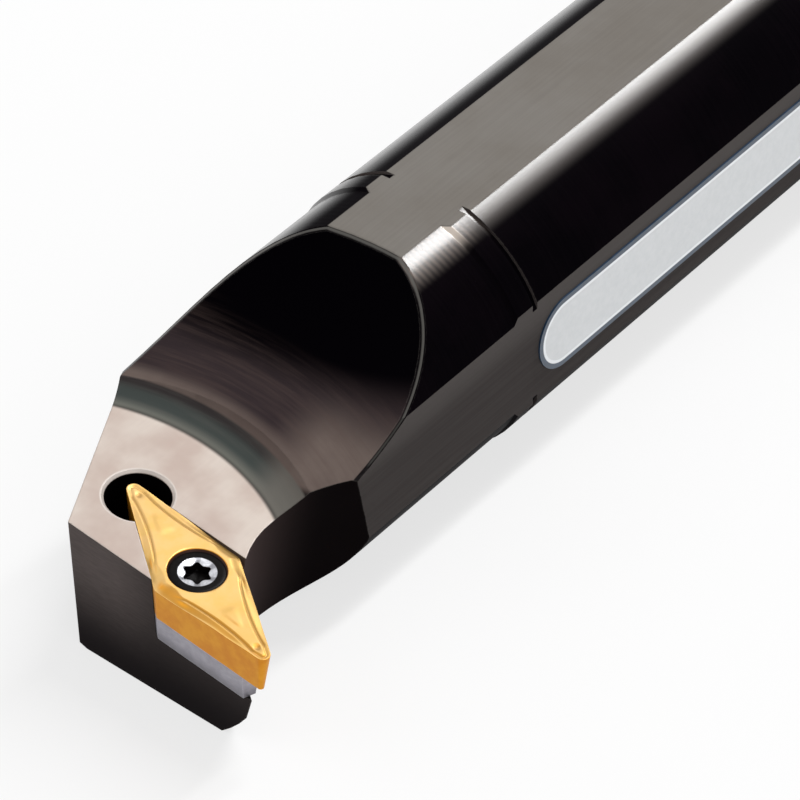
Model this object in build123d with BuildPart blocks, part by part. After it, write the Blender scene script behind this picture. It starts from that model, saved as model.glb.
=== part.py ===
from build123d import *

import math
import os

os.makedirs("parts", exist_ok=True)

# Right-hand indexable boring bar. Row frame: X runs along the bar from the rear end to the
# cutting head, +Y is the side the cutting corner reaches out to, and Z = 0 is the bottom flat.

# Bar
bar_length = 300.0
shank_diameter = 32.0
clamp_flat_depth = 1.0
side_flat_depth = 1.5
rear_chamfer = 0.8
neck_diameter = 31.4
neck_length = 51.2
collar_length = 2.6
collar_taper = 0.6
groove_width = 0.8
groove_depth = 0.35

# Insert: 35 degree rhombus with relief on its flanks, one screw hole, moulded chipbreaker
tip_reach = 22.0
lead_angle = 93.0
radial_rake = 6.0
insert_angle = 35.0
insert_circle = 9.525
insert_thickness = 4.76
insert_relief = 5.0
nose_radius = 0.8
insert_hole_radius = 2.2
insert_mouth_radius = 3.15
edge_land = 0.35
breaker_width = 0.95
breaker_depth = 0.25

# Shim and the screws
shim_thickness = 3.18
shim_setback = 4.6
sleeve_radius = 2.5
sleeve_head_radius = 3.3
sleeve_head_height = 1.2
sleeve_thread_length = 5.0
sleeve_key_width = 4.0
sleeve_key_depth = 1.6
screw_radius = 1.75
screw_head_drop = 0.35
screw_head_flat_radius = 2.15
screw_head_radius = 2.7
screw_key_radius = 1.45
screw_key_lobe_radius = 0.42
screw_key_depth = 1.2
screw_clearance = 0.05
shim_hole_clearance = 0.2
wall_clearance = 0.05

# Head
rake_drop = 0.15
rake_tool_centre = (7.1, -24.5)
rake_tool_radius = 26.0
rake_tool_corner = 6.9
front_inset = 1.0
front_lean = 2.0
far_face_setback = 2.1
far_face_offset = 5.4
far_face_angle = 25.8
bore_radius = 19.5
bore_shift = 2.0
tip_block_reach = 21.0
tip_block_inner = 4.0
tip_block_length = 15.0
relief_hole_radius = 3.55
relief_hole_distance = 12.3
relief_hole_extra = 0.5
relief_hole_chamfer = 0.3
side_cutter_radius = 12.0
side_cutter_rise = 6.0
side_cutter_advance = 4.1
side_inset = 0.6
side_draft = 5.0

# Chip scoop, set on its own tilted floor
scoop_setback = 24.0
scoop_floor_height = 3.9
scoop_rise_back = 0.13
scoop_rise_far = 0.08
scoop_centre = (12.6, -1.5)
scoop_floor_radius = 16.1
scoop_corner = 23.7
scoop_front_setback = 16.0
scoop_edge_break = 0.4

# Label on the tip-side flat
label_length = 90.0
label_height = 9.0
label_thickness = 0.2
label_setback = 55.4

shank_radius = shank_diameter / 2
height_over_flats = shank_diameter - 2 * clamp_flat_depth
side_flat_reach = shank_radius - side_flat_depth
axis_height = height_over_flats / 2
neck_start = bar_length - neck_length
tip_block_start = bar_length - tip_block_length
bar_axis = Axis((0, 0, axis_height), (1, 0, 0))
neck_radius = neck_diameter / 2
cut_size = 80.0
cutter_length = 40.0

# The head frame: its origin is the centre of the cutting corner's radius at the cutting edges,
# its X runs along the bar and its XY plane is the tilted plane of the cutting edges.
tilt = math.radians(radial_rake)
corner_centre = (bar_length - nose_radius, tip_reach - nose_radius * math.cos(tilt), axis_height)
head = Plane(origin=corner_centre, x_dir=(1, 0, 0), z_dir=(0, math.sin(tilt), math.cos(tilt)))

half_angle = math.radians(insert_angle / 2)
relief_slope = math.tan(math.radians(insert_relief))
long_axis_angle = 180 - lead_angle - insert_angle / 2
long_axis = Vector(1, 0).rotate(Axis.Z, long_axis_angle)
insert_centre = long_axis * -((insert_circle / 2 - nose_radius) / math.sin(half_angle))
seat_depth = insert_thickness + shim_thickness
relief_centre = insert_centre - long_axis * relief_hole_distance
screw_line = Axis((head * Location(insert_centre)).position, head.z_dir)


def rhombus(depth, inset=0.0):
    """Outline of the insert at a depth below its cutting edges, drawn in by the flank relief."""
    drawn_in = depth * relief_slope + inset
    half_width = insert_circle / 2 - drawn_in
    with BuildSketch(head.offset(-depth)) as outline:
        with Locations(Location(insert_centre, (0, 0, long_axis_angle))):
            Polygon(
                (half_width / math.sin(half_angle), 0),
                (0, half_width / math.cos(half_angle)),
                (-half_width / math.sin(half_angle), 0),
                (0, -half_width / math.cos(half_angle)),
            )
        fillet(outline.vertices(), max(nose_radius - drawn_in, 0.1))
    return outline.sketch


def pocket_outline(depth):
    """Wedge between the two locating walls at a depth, open towards the cutting corner."""
    half_width = insert_circle / 2 + wall_clearance - depth * relief_slope
    inner = insert_centre - long_axis * (half_width / math.sin(half_angle))
    first = inner + Vector(cut_size, 0).rotate(Axis.Z, long_axis_angle - insert_angle / 2)
    second = inner + Vector(cut_size, 0).rotate(Axis.Z, long_axis_angle + insert_angle / 2)
    with BuildSketch(head.offset(-depth)) as outline:
        with BuildLine():
            Polyline(inner, first, second, close=True)
        make_face()
    return outline.sketch


def turned(plane, points):
    """Half section of a piece turned about the plane's own Y axis."""
    with BuildSketch(plane) as section:
        with BuildLine():
            Polyline(*points, close=True)
        make_face()
    return section.sketch


# Tool that leaves the ground rake plane: flat end, rounded corner, axis square to the insert
rake_axis_point = (head * Location((*rake_tool_centre, -rake_drop))).position
rake_section = Plane(origin=rake_axis_point, x_dir=head.x_dir, z_dir=-head.y_dir)
with BuildPart() as rake_tool:
    with BuildSketch(rake_section):
        with BuildLine():
            Line((0, 0), (rake_tool_radius, 0))
            corner = CenterArc((rake_tool_radius, rake_tool_corner), rake_tool_corner, -90, 90)
            outer_radius = rake_tool_radius + rake_tool_corner
            Polyline(corner @ 1, (outer_radius, cutter_length), (0, cutter_length), (0, 0))
        make_face()
    revolve(axis=Axis(rake_axis_point, head.z_dir))

# Tool that leaves the chip scoop: a wide cutter with a large corner radius on a tilted axis
scoop_normal = Vector(scoop_rise_back, scoop_rise_far, 1).normalized()
scoop_origin = (bar_length - scoop_setback, 0, axis_height + scoop_floor_height)
scoop_floor = Plane(origin=scoop_origin, x_dir=(1, 0, -scoop_rise_back), z_dir=scoop_normal)
scoop_axis_point = (scoop_floor * Location((*scoop_centre, 0))).position
scoop_section = Plane(origin=scoop_axis_point, x_dir=scoop_floor.x_dir, z_dir=-scoop_floor.y_dir)
with BuildPart() as scoop_tool:
    with BuildSketch(scoop_section):
        with BuildLine():
            Line((0, 0), (scoop_floor_radius, 0))
            corner = CenterArc((scoop_floor_radius, scoop_corner), scoop_corner, -90, 90)
            outer_radius = scoop_floor_radius + scoop_corner
            Polyline(corner @ 1, (outer_radius, cutter_length), (0, cutter_length), (0, 0))
        make_face()
    revolve(axis=Axis(scoop_axis_point, scoop_normal))
    with Locations((bar_length - scoop_front_setback, 0, axis_height)):
        Box(cut_size, 2 * cut_size, cut_size, align=(Align.MAX, Align.CENTER, Align.CENTER),
            mode=Mode.INTERSECT)

# Bar: shank, neck and head are one piece of steel
with BuildPart() as bar_body:
    groove_front = neck_start - collar_length - collar_taper
    groove_back = groove_front - groove_width
    with BuildSketch(Plane.XZ):
        with BuildLine():
            Polyline(
                (0, axis_height),
                (0, axis_height + shank_radius - rear_chamfer),
                (rear_chamfer, axis_height + shank_radius),
                (groove_back, axis_height + shank_radius),
                (groove_back, axis_height + shank_radius - groove_depth),
                (groove_front, axis_height + shank_radius - groove_depth),
                (groove_front, axis_height + shank_radius),
                (neck_start - collar_taper, axis_height + shank_radius),
                (neck_start, axis_height + neck_radius),
                (bar_length, axis_height + neck_radius),
                (bar_length, axis_height),
                close=True,
            )
        make_face()
    revolve(axis=bar_axis)
    # flat on the tip side
    with Locations((0, side_flat_reach, axis_height)):
        Box(bar_length, cut_size, cut_size, align=(Align.MIN, Align.MIN, Align.CENTER),
            mode=Mode.SUBTRACT)
    # block that carries the insert, turned to clear the bore
    with BuildSketch(Plane.YZ.offset(tip_block_start)):
        with Locations((bore_shift, axis_height)):
            Circle(bore_radius)
        with Locations((tip_block_inner, 0)):
            Rectangle(tip_block_reach - tip_block_inner, axis_height, align=(Align.MIN, Align.MIN),
                      mode=Mode.INTERSECT)
    extrude(amount=bar_length - tip_block_start)
    # top and bottom flats
    with Locations((0, 0, 0)):
        Box(bar_length, 2 * cut_size, height_over_flats,
            align=(Align.MIN, Align.CENTER, Align.MIN), mode=Mode.INTERSECT)
    # chip scoop and rake plane
    add(scoop_tool.part, mode=Mode.SUBTRACT)
    add(rake_tool.part, mode=Mode.SUBTRACT)
    # front face, set back under the front cutting edge and leaning away from it
    front_normal = Vector(1, 0, 0).rotate(Axis.Y, front_lean).rotate(Axis.Z, 90 - lead_angle)
    front_point = Vector(*corner_centre) + front_normal * (nose_radius - front_inset)
    front_point = front_point - Vector(0, 0, seat_depth)
    with BuildSketch(Plane(origin=front_point, z_dir=front_normal)):
        Rectangle(2 * cut_size, 2 * cut_size)
    extrude(amount=cut_size, mode=Mode.SUBTRACT)
    # slanting face on the far side of the head
    far_normal = Vector(0, -1, 0).rotate(Axis.Z, far_face_angle)
    far_point = (bar_length - far_face_setback, -far_face_offset, axis_height)
    with BuildSketch(Plane(origin=far_point, z_dir=far_normal)):
        Rectangle(2 * cut_size, 2 * cut_size)
    extrude(amount=cut_size, mode=Mode.SUBTRACT)
    # hollow behind the insert on the tip side: the cutter runs in along the insert's flank
    flank_angle = long_axis_angle - insert_angle / 2
    flank = Vector(1, 0).rotate(Axis.Z, flank_angle)
    flank_normal = Vector(0, 1).rotate(Axis.Z, flank_angle)
    top_radius = side_cutter_radius - side_cutter_rise * math.tan(math.radians(side_draft))
    flank_offset = insert_circle / 2 - side_inset + side_cutter_radius
    hollow_centre = insert_centre + flank_normal * flank_offset + flank * side_cutter_advance
    with BuildSketch(head.offset(side_cutter_rise)):
        with Locations(Location(hollow_centre, (0, 0, flank_angle))):
            Circle(top_radius)
            Rectangle(cut_size, 2 * top_radius, align=(Align.MIN, Align.CENTER))
    extrude(amount=-cut_size / 2, taper=-side_draft, mode=Mode.SUBTRACT)
    # insert pocket: shelf for the shim and two locating walls
    loft([pocket_outline(-4), pocket_outline(seat_depth)], ruled=True, mode=Mode.SUBTRACT)
    # round relief where the two walls would meet, with a broken edge
    relief_line = Axis((head * Location(relief_centre)).position, head.z_dir)
    relief_section = Plane(origin=relief_line.position, x_dir=head.x_dir, z_dir=-head.y_dir)
    add(turned(relief_section, [
        (0, relief_hole_chamfer - rake_drop),
        (relief_hole_radius + 2 * relief_hole_chamfer, relief_hole_chamfer - rake_drop),
        (relief_hole_radius, -relief_hole_chamfer - rake_drop),
        (relief_hole_radius, -seat_depth - relief_hole_extra),
        (0, -seat_depth - relief_hole_extra),
    ]))
    revolve(axis=relief_line, mode=Mode.SUBTRACT)
    # threaded hole for the shim screw
    with BuildSketch(head.offset(-seat_depth - 20)):
        with Locations(insert_centre):
            Circle(sleeve_radius + screw_clearance)
    extrude(amount=20 + 1, mode=Mode.SUBTRACT)

    # broken edge along the scoop's rim, round from the far side to the tip-side flat
    scoop_wall = bar_body.faces().filter_by(GeomType.REVOLUTION).sort_by(SortBy.AREA)[-1]
    rim = scoop_wall.edges().filter_by(GeomType.BSPLINE).sort_by(SortBy.LENGTH)[-4:]
    chamfer(rim, scoop_edge_break)

# Shim: same outline as the underside of the insert, with a sunk seat for its screw
with BuildPart() as shim:
    loft([rhombus(insert_thickness), rhombus(seat_depth)], ruled=True)
    # both sharp corners are cut short
    with BuildSketch(head.offset(-seat_depth)):
        with Locations(Location(insert_centre, (0, 0, long_axis_angle))):
            Rectangle(insert_circle / math.sin(half_angle) - 2 * shim_setback, insert_circle)
    extrude(amount=shim_thickness, mode=Mode.INTERSECT)
    with BuildSketch(head.offset(-seat_depth)):
        with Locations(insert_centre):
            Circle(sleeve_radius + shim_hole_clearance)
    extrude(amount=shim_thickness, mode=Mode.SUBTRACT)
    with BuildSketch(head.offset(-insert_thickness)):
        with Locations(insert_centre):
            Circle(sleeve_head_radius + shim_hole_clearance)
    extrude(amount=-(sleeve_head_height + screw_clearance), mode=Mode.SUBTRACT)

# Shim screw: threaded sleeve that holds the shim down and takes the insert screw
screw_section = Plane(origin=screw_line.position, x_dir=head.x_dir, z_dir=-head.y_dir)
sleeve_top = -insert_thickness - screw_clearance
sleeve_shoulder = sleeve_top - sleeve_head_height
sleeve_end = -seat_depth - sleeve_thread_length
with BuildPart() as shim_screw:
    add(turned(screw_section, [
        (screw_radius + screw_clearance, sleeve_top),
        (sleeve_head_radius, sleeve_top),
        (sleeve_head_radius, sleeve_shoulder),
        (sleeve_radius, sleeve_shoulder),
        (sleeve_radius, sleeve_end),
        (screw_radius + screw_clearance, sleeve_end),
    ]))
    revolve(axis=screw_line)
    with BuildSketch(head.offset(sleeve_top)):
        with Locations(insert_centre):
            RegularPolygon(sleeve_key_width / 2, 6, major_radius=False)
    extrude(amount=-sleeve_key_depth, mode=Mode.SUBTRACT)

# Insert
with BuildPart() as insert:
    loft([rhombus(0), rhombus(insert_thickness)], ruled=True)
    # chipbreaker groove all round, inside the edge land
    with BuildSketch(head) as breaker:
        add(rhombus(0, edge_land))
        add(rhombus(0, edge_land + breaker_width), mode=Mode.SUBTRACT)
    extrude(breaker.sketch, amount=-breaker_depth, mode=Mode.SUBTRACT)
    mouth_depth = (insert_mouth_radius - insert_hole_radius) / math.tan(math.radians(30))
    add(turned(screw_section, [
        (0, 0),
        (insert_mouth_radius, 0),
        (insert_hole_radius, -mouth_depth),
        (insert_hole_radius, -insert_thickness),
        (0, -insert_thickness),
    ]))
    revolve(axis=screw_line, mode=Mode.SUBTRACT)

# Insert screw: sunk head with a six-lobe socket
with BuildPart() as insert_screw:
    cone_drop = (insert_mouth_radius - screw_head_radius) / math.tan(math.radians(30))
    cone_end = (insert_mouth_radius - screw_radius) / math.tan(math.radians(30))
    add(turned(screw_section, [
        (0, -screw_head_drop),
        (screw_head_flat_radius, -screw_head_drop),
        (screw_head_radius, 2 * screw_clearance - cone_drop),
        (screw_radius, 2 * screw_clearance - cone_end),
        (screw_radius, sleeve_end + 0.6),
        (screw_radius - 0.5, sleeve_end + 0.1),
        (0, sleeve_end + 0.1),
    ]))
    revolve(axis=screw_line)
    with BuildSketch(head.offset(-screw_head_drop)):
        with Locations(insert_centre):
            Circle(screw_key_radius - screw_key_lobe_radius)
            with PolarLocations(screw_key_radius - screw_key_lobe_radius, 6):
                Circle(screw_key_lobe_radius)
    extrude(amount=-screw_key_depth, mode=Mode.SUBTRACT)

# Label: thin plate with rounded ends on the tip-side flat
with BuildPart() as label:
    label_middle = bar_length - label_setback - label_length / 2
    label_plane = Plane(origin=(label_middle, side_flat_reach, axis_height), x_dir=(-1, 0, 0),
                        z_dir=(0, 1, 0))
    with BuildSketch(label_plane):
        SlotOverall(label_length, label_height)
    extrude(amount=label_thickness)

bar_body.part.label = "bar_body"
shim.part.label = "shim"
shim_screw.part.label = "shim_screw"
insert.part.label = "insert"
insert_screw.part.label = "insert_screw"
label.part.label = "label"

export_step(bar_body.part, "parts/bar_body.step")
export_step(shim.part, "parts/shim.step")
export_step(shim_screw.part, "parts/shim_screw.step")
export_step(insert.part, "parts/insert.step")
export_step(insert_screw.part, "parts/insert_screw.step")
export_step(label.part, "parts/label.step")
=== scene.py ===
# %% [markdown]
# # Dressing an indexable boring bar
#
# A boring bar reaches into a hole and cuts it wider. This one is a round bar of hardened steel with
# a flat on top, a flat underneath and a flat on the tip side, and its head carries a small diamond
# shaped insert that does the cutting. Its solids come from the CAD model. This lesson gives them
# their finishes and makes again, in more detail, the pieces whose fine form the solids leave plain.

import math

import bpy
import numpy as np
from mathutils import Matrix, Vector


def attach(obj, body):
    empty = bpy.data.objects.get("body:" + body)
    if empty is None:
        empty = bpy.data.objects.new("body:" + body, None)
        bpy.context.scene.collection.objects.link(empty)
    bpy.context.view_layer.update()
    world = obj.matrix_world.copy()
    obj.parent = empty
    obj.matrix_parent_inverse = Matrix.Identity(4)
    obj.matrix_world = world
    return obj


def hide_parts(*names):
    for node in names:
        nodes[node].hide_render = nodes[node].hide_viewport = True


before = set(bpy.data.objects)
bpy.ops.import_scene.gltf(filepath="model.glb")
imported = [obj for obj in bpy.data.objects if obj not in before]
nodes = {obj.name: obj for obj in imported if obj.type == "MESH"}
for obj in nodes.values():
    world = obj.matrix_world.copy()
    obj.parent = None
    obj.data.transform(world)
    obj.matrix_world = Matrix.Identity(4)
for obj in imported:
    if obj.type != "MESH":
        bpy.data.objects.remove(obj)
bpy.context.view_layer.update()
print("CAD nodes:", sorted(nodes))

# %% [markdown]
# ## Where the head is
#
# The cutting edges of the insert lie in a plane that is tilted 6 degrees about the bar, so that the
# insert leans away from the bore. The maker of the bar measures everything on the head in that
# plane. So does this lesson: `head_point` turns such measures, in millimetres, into places in the
# model, which is in metres. The frame starts at the centre of the cutting corner's small radius.

# %% The head's own frame
MM = 0.001
BAR_LENGTH, CORNER_REACH, AXIS_HEIGHT = 300, 22, 15
TILT = math.radians(6)
NOSE = 0.8
HEAD_ORIGIN = np.array([BAR_LENGTH - NOSE, CORNER_REACH - NOSE * math.cos(TILT), AXIS_HEIGHT])
HEAD_X = np.array([1, 0, 0])
HEAD_Y = np.array([0, math.cos(TILT), -math.sin(TILT)])
HEAD_Z = np.array([0, math.sin(TILT), math.cos(TILT)])


def head_point(x, y, z):
    """Origin plus x, y and z steps along the head's three directions, from mm to metres."""
    x, y, z = np.broadcast_arrays(x, y, z)
    steps = x[..., None] * HEAD_X + y[..., None] * HEAD_Y + z[..., None] * HEAD_Z
    return (HEAD_ORIGIN + steps) * MM


print("cutting corner centre, mm:", HEAD_ORIGIN.round(3))

# %% [markdown]
# The insert is a rhombus with a 35 degree corner, and its long diagonal stands at 69.5 degrees to
# the bar. The insert and both screws are measured from the insert's own centre: u runs along the
# long diagonal towards the cutting corner and v across it.

# %% The insert's centre and diagonals
HALF_ANGLE = math.radians(17.5)
HALF_WIDTH = 9.525 / 2
LONG = math.radians(69.5)
LONG_WAY = np.array([math.cos(LONG), math.sin(LONG)])
CENTRE_DISTANCE = (HALF_WIDTH - NOSE) / math.sin(HALF_ANGLE)
CENTRE = -CENTRE_DISTANCE * LONG_WAY
U_AXIS = math.cos(LONG) * HEAD_X + math.sin(LONG) * HEAD_Y
V_AXIS = math.cos(LONG) * HEAD_Y - math.sin(LONG) * HEAD_X


def insert_point(u, v, z):
    """The insert's centre plus u along its long diagonal, v across it and z up, in metres."""
    x = CENTRE[0] + u * math.cos(LONG) - v * math.sin(LONG)
    y = CENTRE[1] + u * math.sin(LONG) + v * math.cos(LONG)
    return head_point(x, y, z)


INSERT_CENTRE = insert_point(0.0, 0.0, 0.0) / MM
print("insert centre, mm:", INSERT_CENTRE.round(3))

# %% [markdown]
# ## The camera
#
# The bar lies on its bottom flat and runs away from the viewer to the upper right. A long lens
# keeps its edges nearly parallel. The camera stands in front of the head, 40 degrees above it.

# %% Camera
AZIMUTH, ELEVATION, ROLL = math.radians(128.978), math.radians(39.843), math.radians(-1.305)
back = np.array([
    math.sin(AZIMUTH) * math.cos(ELEVATION),
    -math.cos(AZIMUTH) * math.cos(ELEVATION),
    math.sin(ELEVATION),
])
level = np.array([math.cos(AZIMUTH), math.sin(AZIMUTH), 0])
upright = np.cross(back, level)
right = math.cos(ROLL) * level + math.sin(ROLL) * upright
up = math.cos(ROLL) * upright - math.sin(ROLL) * level

STAND = (0.57103, 0.25947, 0.34892)
camera = bpy.data.objects.new("camera", bpy.data.cameras.new("camera"))
camera.data.lens = 222.1
camera.data.sensor_width = 36
camera.data.clip_start = 0.01
camera.matrix_world = Matrix.Translation(STAND) @ Matrix(
    np.column_stack([right, up, back]).tolist()
).to_4x4()
bpy.context.scene.collection.objects.link(camera)
bpy.context.scene.camera = camera
print("camera looks along", (-back).round(3))

# %% [markdown]
# ## Shader sums as plain Python
#
# A procedural material is arithmetic on the point that is being shaded. Written as nodes, even
# `1 - mask` is a box and two links. `Number` wraps a socket so that Python's own signs add those
# Math nodes. Every node, of any type, comes from one function, `add_node`.

# %% A number inside a material
class Number:
    """A socket that carries one value for each point. Sums and products of it are Math nodes."""

    def __init__(self, socket):
        self.socket = socket

    def math(self, operation, *terms):
        return add_node(self.socket.id_data, "Math", {"operation": operation},
                        dict(enumerate(terms)))

    def __add__(self, other):
        return self.math("ADD", self, other)

    def __sub__(self, other):
        return self.math("SUBTRACT", self, other)

    def __rsub__(self, other):
        return self.math("SUBTRACT", other, self)

    def __mul__(self, other):
        return self.math("MULTIPLY", self, other)

    def __truediv__(self, other):
        return self.math("DIVIDE", self, other)

    def __rtruediv__(self, other):
        return self.math("DIVIDE", other, self)

    __radd__ = __add__
    __rmul__ = __mul__

    def least(self, other):
        return self.math("MINIMUM", self, other)

    def most(self, other):
        return self.math("MAXIMUM", self, other)

    def size(self):
        return self.math("ABSOLUTE", self)

    def root(self):
        return self.math("SQRT", self.most(0))

    def sine(self):
        return self.math("SINE", self)

    def turn(self, along):
        """The angle of a direction that reaches `along` one way and this value square to it."""
        return self.math("ARCTAN2", self, along)

    def over(self, low, high):
        """0 below `low`, 1 above `high`, and a smooth step between them."""
        return add_node(self.socket.id_data, "MapRange", {"interpolation_type": "SMOOTHSTEP"},
                        {"Value": self, "From Min": low, "From Max": high}, "Result")

    def under(self, low, high):
        """1 below `low`, 0 above `high`, and a smooth step between them."""
        return 1 - self.over(low, high)

    def within(self, start, full, fade, end):
        """0 up to `start`, 1 from `full` to `fade`, and 0 again from `end` on."""
        return self.over(start, full) * self.under(fade, end)


print("Number knows", [name for name in vars(Number) if not name.startswith("__")])

# %% Any node
def join(value, socket):
    """Links a number to a socket, or sets the socket to a plain value."""
    if isinstance(value, Number):
        socket.id_data.links.new(value.socket, socket)
    else:
        socket.default_value = value if np.isscalar(value) else tuple(value)


def add_node(tree, kind, settings=None, inputs=None, output=0):
    """Adds any node: its type, then its settings, then the values or links of its sockets."""
    node = tree.nodes.new("ShaderNode" + kind)
    for setting, value in (settings or {}).items():
        setattr(node, setting, value)
    for socket, value in (inputs or {}).items():
        join(value, node.inputs[socket])
    return Number(node.outputs[output])


print("node helpers ready:", join.__name__, add_node.__name__)

# %% [markdown]
# Every material below needs the same few things: its point in millimetres, noise, a mix of two
# colours, a softened normal, a bump. `Finish` gives each of them a short name, so that a material
# reads as a list of what was done to the metal.

# %% A finish: one material and its nodes
def ink(red, green, blue):
    """A colour as a screen shows it, 0 to 255, turned into the light values that shaders use."""
    shown = np.array([red, green, blue]) / 255
    light = np.where(shown <= 0.04045, shown / 12.92, ((shown + 0.055) / 1.055) ** 2.4)
    return (*light.tolist(), 1.0)


class Finish:
    """A material whose surface is a Principled shader, and the means to add nodes to it."""

    def __init__(self, name, **constants):
        self.material = bpy.data.materials.new(name)
        self.material.use_nodes = True
        self.tree = self.material.node_tree
        self.shader = self.tree.nodes["Principled BSDF"]
        self.feed(**constants)

    def feed(self, **inputs):
        """Gives the shader's sockets their constants, or what varies over the surface."""
        for socket, value in inputs.items():
            join(value, self.shader.inputs[socket.replace("_", " ")])

    def node(self, kind, settings=None, inputs=None, output=0):
        """Any node of this material, as `add_node` makes it."""
        return add_node(self.tree, kind, settings, inputs, output)

    def millimetres(self):
        """The point being shaded, as a vector in millimetres."""
        place = self.node("TexCoord", output="Object")
        return self.node("VectorMath", {"operation": "SCALE"}, {0: place, "Scale": 1000.0})

    def along(self, vector, direction):
        """How far a vector reaches along a direction: their dot product."""
        return self.node("VectorMath", {"operation": "DOT_PRODUCT"},
                         {0: vector, 1: direction}, "Value")

    def away_from(self, vector, place):
        """The vector that leads to a point from a place: their difference."""
        return self.node("VectorMath", {"operation": "SUBTRACT"}, {0: vector, 1: place})

    def parts(self, vector):
        """The x, y and z of a vector, as three numbers."""
        split = self.node("SeparateXYZ", {}, {0: vector}).socket.node
        return [Number(split.outputs[name]) for name in "XYZ"]

    def blend(self, factor, first, second):
        """`first` where the factor is 0, `second` where it is 1."""
        return self.node("Mix", {"data_type": "RGBA"},
                         {"Factor": factor, "A": first, "B": second}, "Result")

    def shades(self, noise, first, second):
        """A colour that drifts from one tone to another with a noise."""
        return self.blend(noise.over(0.3, 0.7), first, second)

    def noise(self, vector, scale, detail=3.0, roughness=0.5):
        """Cloudy noise around one half; scale counts its cells in a unit of the vector."""
        return self.node("TexNoise", {}, {"Vector": vector, "Scale": scale, "Detail": detail,
                                          "Roughness": roughness}, "Fac")

    def stretch(self, vector, x, y, z):
        """The vector with each of its parts scaled, which draws a noise out into streaks."""
        return self.node("VectorMath", {"operation": "MULTIPLY"}, {0: vector, 1: (x, y, z)})

    def normal(self):
        """The way the surface looks at the point being shaded."""
        return self.node("NewGeometry", output="Normal")

    def soft_normal(self, radius):
        """The surface's normal with its edges rounded off. The radius is in metres."""
        return self.node("Bevel", {"samples": 6}, {"Radius": radius})

    def bump(self, height, depth, normal):
        """A normal bent by a height map. The depth is in metres, for heights from 0 to 1."""
        return self.node("Bump", {}, {"Height": height, "Strength": 1.0, "Distance": depth,
                                      "Normal": normal})


print("a mid grey as light:", [round(part, 3) for part in ink(128, 128, 128)])

# %% [markdown]
# ## Studio
#
# The bar lies on a wide sheet of white paper. A pure white glow would lose the bar's shadow, and
# plain paper would turn grey towards the back. So the floor is lit like anything else and keeps
# its shadow, and a camera ray sees part of it as its own glow.

# %% Floor
def looking(tree):
    """1 for a ray from the camera, off a glossy surface or through glass; 0 for a lighting ray."""
    camera_ray, glossy_ray, glass_ray = (add_node(tree, "LightPath", output=f"Is {kind} Ray")
                                         for kind in ("Camera", "Glossy", "Transmission"))
    return camera_ray.most(glossy_ray).most(glass_ray)


def plain_paper(name, shade, glow):
    """Matt paper that a camera or mirror ray sees partly as its own white glow."""
    paper = Finish(name, Base_Color=(shade, shade, shade, 1), Roughness=0.9,
                   Specular_IOR_Level=0.1)
    white = paper.node("Emission", {}, {"Color": (1, 1, 1, 1), "Strength": 1.0})
    mixed = paper.node("MixShader", {}, {"Fac": looking(paper.tree) * glow,
                                         1: Number(paper.shader.outputs[0]), 2: white})
    join(mixed, paper.tree.nodes["Material Output"].inputs["Surface"])
    return paper.material


FLOOR_REACH = 3
floor_mesh = bpy.data.meshes.new("floor")
floor_mesh.from_pydata([(x * FLOOR_REACH, y * FLOOR_REACH, 0) for x in (-1, 1) for y in (-1, 1)],
                       [], [(0, 2, 3, 1)])
floor = bpy.data.objects.new("floor", floor_mesh)
floor.data.materials.append(plain_paper("floor_paper", 0.85, 0.72))
bpy.context.scene.collection.objects.link(floor)
print("floor spans", 2 * FLOOR_REACH, "m")

# %% [markdown]
# The room around the floor is white as well. It lights the bar at only a third of the strength
# that it shows to the camera, because a fully lit room would wash out the black steel.

# %% World
ROOM_LIGHT = 0.35
world = bpy.data.worlds.new("studio")
bpy.context.scene.world = world
world.use_nodes = True
background = world.node_tree.nodes["Background"]
join((1, 1, 1, 1), background.inputs["Color"])
join(ROOM_LIGHT + looking(world.node_tree) * (1 - ROOM_LIGHT), background.inputs["Strength"])
print("the room lights the bar at", ROOM_LIGHT, "and looks white")

# %% [markdown]
# A long soft lamp hangs behind the bar. Its mirror image is the pale streak that runs down the
# rounded corner between the top flat and the side, and the lamp is much longer than the bar, so
# that the streak has no end. Two large weak panels, one to each side of the head, fill its shadows.

# %% Lamps
HEAD_MIDDLE = (0.26, 0.0, 0.02)


def panel(name, direction, distance, width, height, power):
    """A rectangular lamp at a distance along a direction from the head, turned to face it."""
    target = Vector(HEAD_MIDDLE)
    aim = Vector(direction).normalized()
    lamp = bpy.data.objects.new(name, bpy.data.lights.new(name, "AREA"))
    lamp.data.shape = "RECTANGLE"
    lamp.data.size, lamp.data.size_y = width, height
    lamp.data.energy = power
    lamp.matrix_world = Matrix.Translation(target + aim * distance) @ aim.to_track_quat(
        "Z", "Y").to_matrix().to_4x4()
    bpy.context.scene.collection.objects.link(lamp)


panel("long_lamp", (-0.597, 0.085, 0.797), 1.3, 0.12, 1.2, 15)
panel("side_fill", (0.35, 0.85, 0.45), 1.6, 1.2, 1.2, 5)
panel("front_fill", (0.55, -0.75, 0.6), 1.6, 1.2, 1.2, 5)
bpy.context.scene.view_settings.view_transform = "Standard"

# %% [markdown]
# ## The bar's steel
#
# The whole bar is blackened: a bath turns the steel's skin into a thin black oxide that takes on
# the texture left by each tool. So one material, with a mask for each machined face, is nearer to
# the real thing than several materials. Each mask asks where the point is and which way its face
# looks: the flats look straight up or sideways, and the scoop lies inside the round skin.

# %% Masks for the faces of the bar
TOP, SIDE, NECK_RADIUS = 30, 14.5, 15.7
TIP_BLOCK_START = 285


def distance(across, along):
    """How far a point lies from a centre, worked out from its two steps away from it."""
    return (across * across + along * along).root()


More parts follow.
